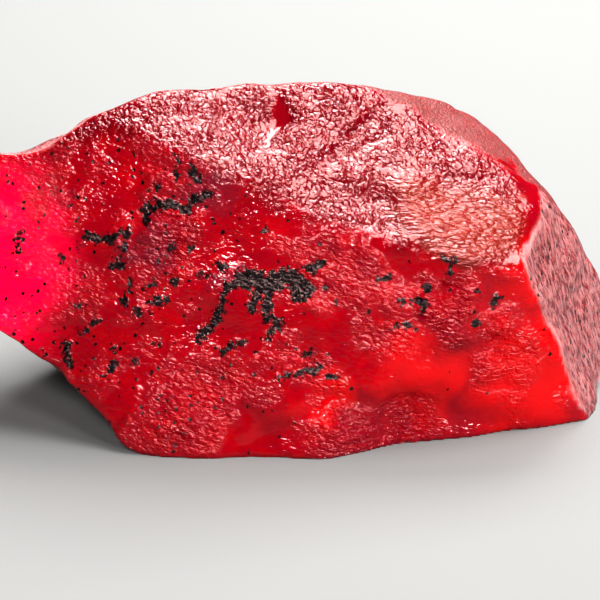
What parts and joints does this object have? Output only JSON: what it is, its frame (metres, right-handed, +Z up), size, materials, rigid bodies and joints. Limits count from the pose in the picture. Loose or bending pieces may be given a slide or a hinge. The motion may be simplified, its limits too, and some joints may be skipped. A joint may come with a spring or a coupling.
{
  "type": "raw fluorite",
  "caption": "Rough lump of translucent red mineral with a frosted skin and dark specks, broken flat below so that it rests by itself.",
  "frame": {"origin": "middle of the lump's box at the height of the flat break it rests on", "axes": "+X along the lump's length, towards its frosted end; -Y towards the broad broken face; +Z up"},
  "size_m": [0.0638, 0.0296, 0.0307],
  "materials": {
    "fluorite": "glossy broken faces, saturated red and slightly translucent, with black specks; frosted dull pink skin on the ends and back"
  },
  "bodies": {
    "root": {"fluorite": "fluorite"}
  },
  "joints": []
}
